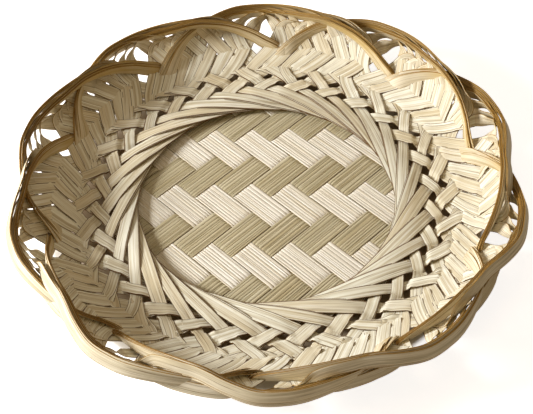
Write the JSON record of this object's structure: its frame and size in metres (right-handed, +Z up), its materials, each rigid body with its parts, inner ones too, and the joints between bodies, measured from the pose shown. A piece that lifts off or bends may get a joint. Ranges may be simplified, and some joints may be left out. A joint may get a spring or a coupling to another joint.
{
  "type": "woven basket",
  "caption": "Shallow round bamboo basket with a twill mat, woven splint wall and a scalloped rim of looped splint bundles.",
  "frame": {"origin": "centre of the basket at the level that it stands on, under the mat", "axes": "+Z up along the basket's axis; -Y is the side nearest the viewer in the picture"},
  "size_m": [0.2344, 0.2404, 0.0282],
  "materials": {
    "mat_light": "matt split bamboo, near white, inner culm side up",
    "mat_dark": "matt split bamboo, khaki tan with fine lengthwise fibres",
    "splint": "satin split bamboo, pale cream",
    "arch": "satin split bamboo, golden on the edges of the bundle and pale on its outer face"
  },
  "bodies": {
    "root": {"mat_strip_light_01": "mat_light", "mat_strip_light_02": "mat_light", "mat_strip_light_03": "mat_light", "mat_strip_light_04": "mat_light", "mat_strip_light_05": "mat_light", "mat_strip_light_06": "mat_light", "mat_strip_light_07": "mat_light", "mat_strip_light_08": "mat_light", "mat_strip_light_09": "mat_light", "mat_strip_light_10": "mat_light", "mat_strip_dark_01": "mat_dark", "mat_strip_dark_02": "mat_dark", "mat_strip_dark_03": "mat_dark", "mat_strip_dark_04": "mat_dark", "mat_strip_dark_05": "mat_dark", "mat_strip_dark_06": "mat_dark", "mat_strip_dark_07": "mat_dark", "mat_strip_dark_08": "mat_dark", "mat_strip_dark_09": "mat_dark", "mat_strip_dark_10": "mat_dark", "side_splint_01": "splint", "side_splint_02": "splint", "side_splint_03": "splint", "side_splint_04": "splint", "side_splint_05": "splint", "side_splint_06": "splint", "side_splint_07": "splint", "side_splint_08": "splint", "side_splint_09": "splint", "side_splint_10": "splint", "side_splint_11": "splint", "side_splint_12": "splint", "side_splint_13": "splint", "side_splint_14": "splint", "side_splint_15": "splint", "side_splint_16": "splint", "side_splint_17": "splint", "side_splint_18": "splint", "side_splint_19": "splint", "side_splint_20": "splint", "side_splint_21": "splint", "side_splint_22": "splint", "side_splint_23": "splint", "side_splint_24": "splint", "side_splint_25": "splint", "side_splint_26": "splint", "side_splint_27": "splint", "side_splint_28": "splint", "side_splint_29": "splint", "side_splint_30": "splint", "rim_arch_01": "arch", "rim_arch_02": "arch", "rim_arch_03": "arch", "rim_arch_04": "arch", "rim_arch_05": "arch", "rim_arch_06": "arch", "rim_arch_07": "arch", "rim_arch_08": "arch", "rim_arch_09": "arch", "rim_arch_10": "arch"}
  },
  "joints": []
}
